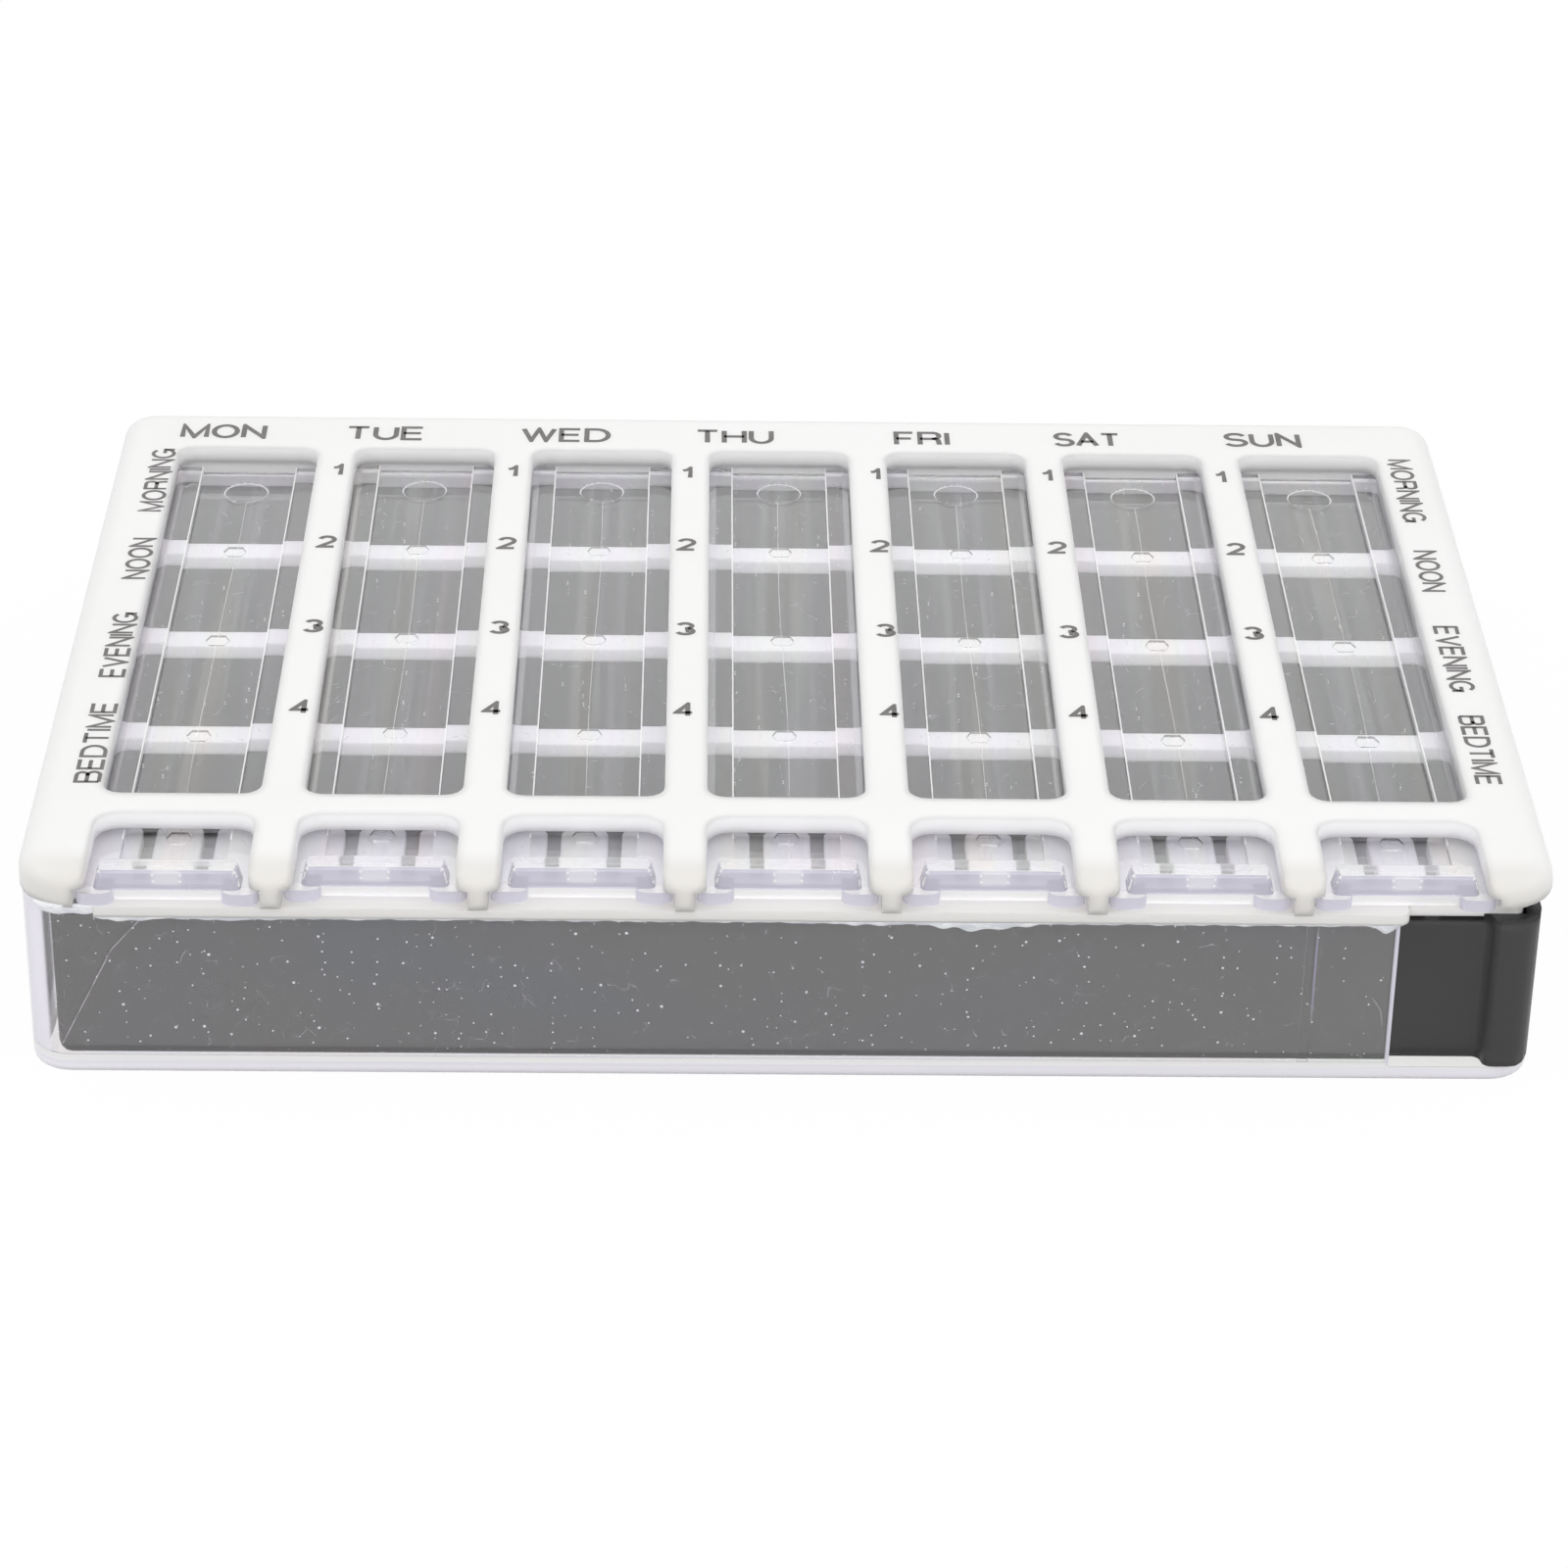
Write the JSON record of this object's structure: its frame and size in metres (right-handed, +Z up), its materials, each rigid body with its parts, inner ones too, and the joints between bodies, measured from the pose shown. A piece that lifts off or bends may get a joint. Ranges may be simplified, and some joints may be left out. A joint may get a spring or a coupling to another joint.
{
  "type": "weekly pill organizer",
  "caption": "Flat pill organizer: a white grid frame with clear sliding lids over a clear sleeve that holds a dark slide-out tray of pill wells.",
  "frame": {"origin": "middle of the underside of the clear sleeve, under the middle of the whole object", "axes": "+X along the days from Monday to Sunday, the way the tray slides out; +Y to the back, opposite to the way the lids slide; +Z up"},
  "size_m": [0.1946, 0.136, 0.03],
  "materials": {
    "white_plastic": "satin",
    "grey_plastic": "satin",
    "clear_plastic": "polished clear",
    "lid_plastic": "polished clear"
  },
  "bodies": {
    "housing": {"top_frame": "white_plastic", "deck": "white_plastic", "clear_sleeve": "clear_plastic"},
    "tray": {"pill_tray": "grey_plastic"},
    "mon_lid": {"lid_mon": "lid_plastic"},
    "tue_lid": {"lid_tue": "lid_plastic"},
    "wed_lid": {"lid_wed": "lid_plastic"},
    "thu_lid": {"lid_thu": "lid_plastic"},
    "fri_lid": {"lid_fri": "lid_plastic"},
    "sat_lid": {"lid_sat": "lid_plastic"},
    "sun_lid": {"lid_sun": "lid_plastic"}
  },
  "joints": [
    {"name": "tray_slide", "type": "slide", "parent": "housing", "child": "tray", "axis": [1, 0, 0], "range_m": [0, 0.192]},
    {"name": "mon_lid_slide", "type": "slide", "parent": "housing", "child": "mon_lid", "axis": [0, -1, 0], "range_m": [-0.0012, 0.1072]},
    {"name": "tue_lid_slide", "type": "slide", "parent": "housing", "child": "tue_lid", "axis": [0, -1, 0], "range_m": [0, 0.1084]},
    {"name": "wed_lid_slide", "type": "slide", "parent": "housing", "child": "wed_lid", "axis": [0, -1, 0], "range_m": [0, 0.1084]},
    {"name": "thu_lid_slide", "type": "slide", "parent": "housing", "child": "thu_lid", "axis": [0, -1, 0], "range_m": [0, 0.1084]},
    {"name": "fri_lid_slide", "type": "slide", "parent": "housing", "child": "fri_lid", "axis": [0, -1, 0], "range_m": [0, 0.1084]},
    {"name": "sat_lid_slide", "type": "slide", "parent": "housing", "child": "sat_lid", "axis": [0, -1, 0], "range_m": [-0.0005, 0.1079]},
    {"name": "sun_lid_slide", "type": "slide", "parent": "housing", "child": "sun_lid", "axis": [0, -1, 0], "range_m": [-0.0005, 0.1079]}
  ]
}
